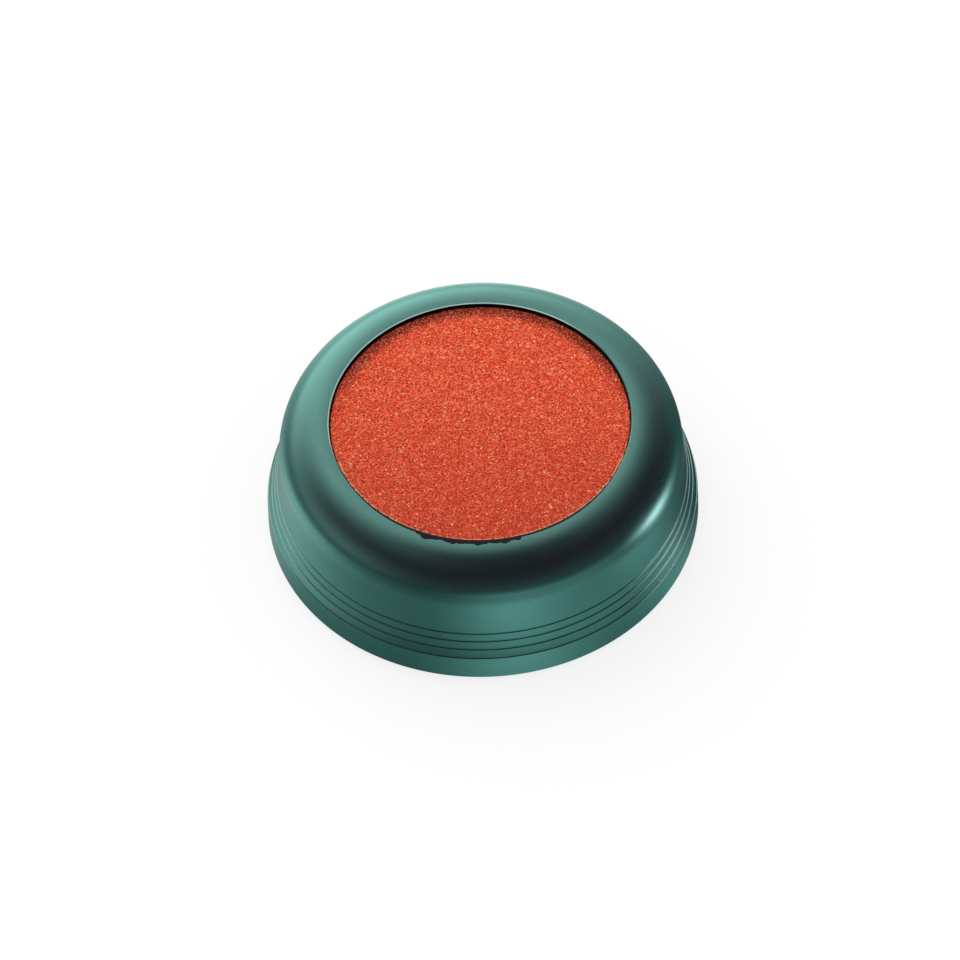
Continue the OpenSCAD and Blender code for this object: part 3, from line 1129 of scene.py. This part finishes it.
@dataclass
class Base:
    """What shows under the holder: the ribbed rubber sole ring and the pan-head screws."""

    screw_steps: int = 96
    thread_radius: float = 1.45 * MM
    core_radius: float = 1.05 * MM
    thread_pitch: float = 1.15 * MM
    thread_rows: int = 9
    thread_start: float = 0.05 * MM
    thread_sharpness: float = 4.4
    tip_length: float = 1.6 * MM
    tip_radius: float = 0.3 * MM
    head_radius: float = 2.8 * MM
    head_height: float = 1.7 * MM
    head_corner: float = 0.08 * MM
    face_rows: int = 30
    face_edge: float = 0.12 * MM
    dome_height: float = 0.55 * MM
    dome_power: float = 2.6
    rim_height: float = 0.78 * MM
    recess_length: float = 1.45 * MM
    recess_width: float = 0.34 * MM
    recess_depth: float = 0.95 * MM
    recess_fades: Point = (0.09 * MM, 0.18 * MM)
    recess_taper: float = 0.4
    recess_slope: float = 0.25
    hub_radius: float = 0.62 * MM
    hub_share: float = 0.9
    hub_fade: float = 0.15 * MM
    well_radius: float = 3.2 * MM
    well_steps: int = 72
    well_height: float = 8.0 * MM
    sole_width: float = 11.0 * MM
    sole_bevel: float = 0.2 * MM
    channel_count: int = 6
    channel_width: float = 0.7 * MM
    channel_depth: float = 0.3 * MM
    channel_steps: int = 10

    def screws(self) -> bpy.types.Object:
        """Makes the screws, each with a domed head, a cross recess and a real thread.

        Returns:
            The screws as one piece.
        """
        low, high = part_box("base_screws")
        seat = low.z + self.head_height
        turns = np.arange(self.screw_steps) * TAU / self.screw_steps
        rings = self.head_face(low.z, turns)
        rings += [circle(radius, height, turns) for radius, height in (
            (self.head_radius, low.z + self.rim_height),
            (self.head_radius, seat - self.head_corner),
            (self.head_radius - self.head_corner, seat), (self.thread_radius, seat))]
        # The thread climbs one pitch each turn and runs out at the tip
        length, crest_height = high.z - seat, self.thread_radius - self.core_radius
        for height in np.arange(self.thread_start, length, self.thread_pitch / self.thread_rows):
            phase = (height / self.thread_pitch - turns / TAU) % 1.0
            crest = np.clip(1.0 - np.abs(phase - 0.5) * self.thread_sharpness, 0.0, 1.0)
            left = min(1.0, (length - height) / self.tip_length)
            radius = (self.core_radius + crest_height * crest) * (0.5 + 0.5 * left)
            rings.append(circle(radius, seat + height, turns))
        rings.append(circle(self.tip_radius, high.z, turns))
        return SCREW_CIRCLE.repeat("pan_head_screws", rings, SCREW_STEEL, crease=38.0)

    def head_face(self, bottom: float, turns: np.ndarray) -> list[np.ndarray]:
        """The face of a screw's head: a shallow dome, sunk by a cross recess with a round hub.

        Args:
            bottom: The height of the dome's middle.
            turns: The angles of its points.

        Returns:
            Its rings of points, from the middle outwards.
        """
        rings = []
        side_fade, end_fade = self.recess_fades
        for share in np.linspace(0.02, 1.0, self.face_rows):
            reach = share * (self.head_radius - self.face_edge)
            across, along = np.abs(reach * np.cos(turns)), np.abs(reach * np.sin(turns))
            narrow, wide = np.minimum(across, along), np.maximum(across, along)
            taper = self.recess_width * (1.0 - self.recess_taper * wide / self.recess_length)
            inside = np.clip((taper - narrow) / side_fade, 0.0, 1.0) * np.clip(
                (self.recess_length - wide) / end_fade, 0.0, 1.0)
            hub = np.clip((self.hub_radius - reach) / self.hub_fade, 0.0, 1.0)
            depth = self.recess_depth * np.maximum(inside, hub * self.hub_share)
            depth *= 1.0 - self.recess_slope * share
            dome = self.dome_height * share ** self.dome_power
            rings.append(circle(reach, bottom + dome + depth, turns))
        return rings

    def sole(self) -> bpy.types.Object:
        """Makes the rubber sole ring, with bevelled edges, round channels and the screws' holes.

        Returns:
            The ring.
        """
        _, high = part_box("sole_ring")
        out, inner, top = high.x, high.x - self.sole_width, high.z
        bevel, half = self.sole_bevel, self.channel_width / 2
        section = [(out - bevel, top), (inner + bevel, top), (inner, top - bevel),
                   (inner, bevel), (inner + bevel, 0.0)]
        turns = [math.pi * k / self.channel_steps for k in range(self.channel_steps + 1)]
        for i in range(self.channel_count):
            middle = inner + self.sole_width * (i + 0.75) / (self.channel_count + 0.5)
            section += [(middle - half * math.cos(t), self.channel_depth * math.sin(t))
                        for t in turns]
        section += [(out - bevel, 0.0), (out, bevel), (out, top - bevel)]
        ring = turned("ribbed_sole", section, BLACK_RUBBER, steps=288, crease=35.0)
        cutter = bmesh.new()
        for where in SCREW_CIRCLE.centres():
            made = bmesh.ops.create_cone(cutter, cap_ends=True, segments=self.well_steps,
                                         depth=self.well_height, radius1=self.well_radius,
                                         radius2=self.well_radius)
            bmesh.ops.translate(cutter, verts=made["verts"], vec=where)
        holes = mesh_piece("sole_holes", [])
        cutter.to_mesh(holes.data)
        cutter.free()
        cut = ring.modifiers.new("holes", "BOOLEAN")
        cut.operation, cut.object, cut.solver = "DIFFERENCE", holes, "EXACT"
        flatten(ring)
        bpy.data.objects.remove(holes)
        outward(ring.data, 35.0)
        return ring

    def build(self) -> None:
        """Makes the screws and the sole ring."""
        settle(self.screws(), Body.HOLDER, SCREW_STEEL, "base_screws")
        settle(self.sole(), Body.HOLDER, BLACK_RUBBER, "sole_ring")


@dataclass(frozen=True)
class Inside:
    """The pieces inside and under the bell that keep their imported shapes, with their finishes."""

    finishes: tuple[tuple[str, Finish], ...] = (
        ("cup_seal", BLACK_RUBBER), ("water_cup", DARK_MOULDING), ("ballast_ring", BALLAST_STEEL),
        ("base_plate", DARK_MOULDING), ("sponge_tray", PALE_MOULDING))

    def build(self) -> None:
        """Gives each piece its finish."""
        for name, finish in self.finishes:
            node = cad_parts[name]
            node.data.materials.clear()
            node.data.materials.append(finish.material())
            LOG.info("%s: %s", name, finish.name)


# Stage


@dataclass(frozen=True)
class Card:
    """A soft card of the studio that shows only in gloss: its place, its width and its strength.

    The heading counts from the front towards the right, in degrees. A hanging card's place is an
    elevation in degrees. A lying card's place is its distance from the axis in metres, and its
    reach is the natural logarithm of how far it spreads from there.
    """

    name: str
    heading: float
    place: float
    width: float
    reach: float
    strength: float
    colour: Colour = WHITE

    def light(self, heading: np.ndarray, place: float, lying: bool) -> np.ndarray:
        """The card's brightness in some directions, fading smoothly from its middle.

        Args:
            heading: The headings, in degrees.
            place: The elevation, or the distance on the table.
            lying: Whether the card lies on the table.

        Returns:
            The red, green and blue light in each direction.
        """
        aside = (heading - self.heading + 180.0) % 360.0 - 180.0
        along = np.log(place / self.place) if lying else place - self.place
        far = (aside / self.width) ** 2 + (along / self.reach) ** 2
        return self.strength * np.exp(-0.5 * far)[:, None] * np.array(self.colour)


WARM: Colour = (1.28, 1.0, 0.98)
HANGING_CARDS = (Card("low_window", -163.0, 2.0, 27.0, 22.0, 2.3, WARM),
                 Card("window", -163.0, 40.0, 27.0, 20.0, 1.0, WARM),
                 Card("skylight", -160.0, 64.0, 60.0, 10.0, 0.5, WARM),
                 Card("left_wall", -80.0, 3.0, 22.0, 16.0, 0.5, WARM),
                 Card("front_wall", 20.0, 0.0, 40.0, 16.0, 0.12))
LYING_CARDS = (Card("table_back", -170.0, 0.12, 30.0, 0.7, 1.1, WARM),
               Card("table_back_far", -167.0, 2.5, 30.0, 1.5, 2.0, WARM),
               Card("table_left", -86.0, 0.08, 19.0, 0.28, 1.45, WARM),
               Card("table_left_far", -82.0, 1.6, 22.0, 1.2, 0.4, WARM),
               Card("table_front_left", -42.0, 0.075, 22.0, 0.45, 0.3),
               Card("table_front", 8.0, 0.058, 14.0, 0.25, 0.75),
               Card("table_front_far", 8.0, 0.14, 14.0, 0.5, 0.7),
               Card("table_right", 40.0, 0.1, 18.0, 0.5, 0.58),
               Card("table_right_near", 64.0, 0.058, 11.0, 0.2, 0.5),
               Card("bright_strip", 80.0, 0.115, 6.5, 0.2, 6.3, (1.65, 1.05, 1.15)),
               Card("strip_tail", 98.0, 0.105, 8.0, 0.25, 0.3))


@dataclass
class Studio:
    """The pale floor, the soft lights and the camera."""

    elevation: float = 51.3
    roll: float = -2.14
    lens: float = 1000.0
    frame_width: float = 0.2232
    aim_right: float = -0.77 * MM
    aim_up: float = 6.86 * MM
    floor_size: float = 3.0
    ambient: float = 0.74
    floor_tone: float = 0.25
    floor_glow: float = 0.78
    softbox_place: tuple[float, float, float] = (-0.9, 1.3, 1.5)
    softbox_size: Point = (2.4, 2.0)
    softbox_power: float = 19.0
    tent_radius: float = 2.9
    tent_steps: int = 180
    tent_rows: int = 60
    tent_top: float = 89.0
    table_rows: int = 90
    table_height: float = 0.5 * MM
    table_gap: float = 45.0 * MM
    room_dimness: Colour = (0.118, 0.03, 0.05)
    table_dimness: Colour = (0.05, 0.1, 0.095)

    def shown_rays(self, board: Board) -> Socket:
        """Tells the rays that show the background: the camera's, mirrored and clear ones.

        Args:
            board: The tree that asks.

        Returns:
            1 for such a ray, or else 0.
        """
        path = board.add("ShaderNodeLightPath").outputs
        seen = board.math("MAXIMUM", path["Is Camera Ray"], path["Is Transmission Ray"])
        return board.math("MAXIMUM", seen, path["Is Glossy Ray"])

    def world(self) -> None:
        """Makes a white background that lights the surfaces less than it shows."""
        world = bpy.context.scene.world = bpy.data.worlds.new("studio")
        world.use_nodes = True
        world.node_tree.nodes.clear()
        board = Board(world.node_tree)
        more = board.times(self.shown_rays(board), 1.0 - self.ambient)
        back = board.add("ShaderNodeBackground", {
            "Color": WHITE, "Strength": board.math("ADD", self.ambient, more)})
        board.add("ShaderNodeOutputWorld", {0: back.outputs[0]})

    def tent(self) -> None:
        """Makes the tent and table that only gloss shows, as bright everywhere as the cards say."""
        places, faces, glow = [], [], []
        dome_rows = np.radians(np.linspace(0.0, self.tent_top, self.tent_rows))
        table_rows = np.geomspace(self.table_gap, self.tent_radius, self.table_rows)
        headings = np.arange(self.tent_steps) * 360.0 / self.tent_steps
        for rows, lying in ((dome_rows, False), (table_rows, True)):
            faces += (walls(len(rows), self.tent_steps) + len(places) * self.tent_steps).tolist()
            cards = LYING_CARDS if lying else HANGING_CARDS
            base = np.array(self.table_dimness if lying else self.room_dimness)
            for row in rows:
                out = row if lying else self.tent_radius * math.cos(row)
                rise = self.table_height if lying else self.tent_radius * math.sin(row)
                places.append(circle(out, rise, np.radians(headings - 90.0)))
                place = row if lying else math.degrees(row)
                light = base + sum(c.light(headings, place, lying) for c in cards)
                glow.append(np.column_stack([light, np.ones(len(light))]))
        tent = mesh_piece("soft_tent", np.concatenate(places).tolist(), faces=faces)
        tent.data.attributes.new("glow", "FLOAT_COLOR", "POINT").data.foreach_set(
            "color", np.concatenate(glow).astype(np.float32).ravel())
        material = blank_material("tent_cloth")
        board = Board(material.node_tree)
        shown = board.add("ShaderNodeAttribute", attribute_name="glow").outputs["Color"]
        cloth = board.add("ShaderNodeEmission", {"Color": shown})
        board.add("ShaderNodeOutputMaterial", {0: cloth.outputs[0]})
        tent.data.materials.append(material)
        tent.visible_camera = tent.visible_diffuse = False
        tent.visible_shadow = tent.visible_transmission = False
        LOG.info("cards: %s", ", ".join(c.name for c in HANGING_CARDS + LYING_CARDS))

    def floor(self) -> None:
        """Makes a plain white floor that keeps the object's shadow."""
        half = self.floor_size / 2
        corners = [(-half, -half, 0), (half, -half, 0), (half, half, 0), (-half, half, 0)]
        floor = mesh_piece("floor", corners, faces=[(0, 1, 2, 3)])
        material = blank_material("white_floor")
        board = Board(material.node_tree)
        shader = board.add("ShaderNodeBsdfDiffuse", {"Color": (self.floor_tone,) * 3})
        strength = board.times(self.shown_rays(board), self.floor_glow)
        glow = board.add("ShaderNodeEmission", {"Strength": strength})
        both = board.add("ShaderNodeAddShader", {0: shader.outputs[0], 1: glow.outputs[0]})
        board.add("ShaderNodeOutputMaterial", {0: both.outputs[0]})
        floor.data.materials.append(material)

    def softbox(self) -> None:
        """Adds a soft rectangular lamp behind the object that gloss doesn't show."""
        data = bpy.data.lights.new("back_softbox", "AREA")
        data.shape = "RECTANGLE"
        data.size, data.size_y = self.softbox_size
        data.energy = self.softbox_power
        lamp = bpy.data.objects.new("back_softbox", data)
        bpy.context.scene.collection.objects.link(lamp)
        lamp.location = self.softbox_place
        towards = Vector((0, 0, 20 * MM)) - lamp.location
        lamp.rotation_euler = towards.to_track_quat("-Z", "Y").to_euler()
        lamp.visible_camera = lamp.visible_glossy = False

    def camera(self) -> None:
        """Adds a long lens above the front, turned a little about its own axis."""
        data = bpy.data.cameras.new("camera")
        data.lens = self.lens
        camera = bpy.data.objects.new("camera", data)
        bpy.context.scene.collection.objects.link(camera)
        bpy.context.scene.camera = camera
        lift = math.radians(self.elevation)
        back = Vector((0.0, -math.cos(lift), math.sin(lift)))
        turn = back.to_track_quat("Z", "Y").to_matrix()
        roll = math.radians(self.roll)
        right = turn.col[0] * math.cos(roll) + turn.col[1] * math.sin(roll)
        up = turn.col[1] * math.cos(roll) - turn.col[0] * math.sin(roll)
        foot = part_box("shell")[0].z
        aim = Vector((0, 0, foot)) + right * self.aim_right + up * self.aim_up
        distance = self.frame_width * self.lens / data.sensor_width
        camera.location = aim + back * distance
        camera.rotation_mode = "QUATERNION"
        camera.rotation_quaternion = Matrix((right, up, back)).transposed().to_quaternion()

    def build(self) -> None:
        """Makes the whole stage."""
        self.world()
        self.floor()
        self.softbox()
        self.tent()
        self.camera()
        bpy.context.scene.view_settings.view_transform = "Standard"


def main() -> None:
    """Builds the moistener, then its stage, and reports each piece."""
    logging.basicConfig(level=logging.INFO, format="%(name)s %(message)s")
    Bell().build()
    Sponge().build()
    Base().build()
    Inside().build()
    Studio().build()


if __name__ == "__main__":
    main()
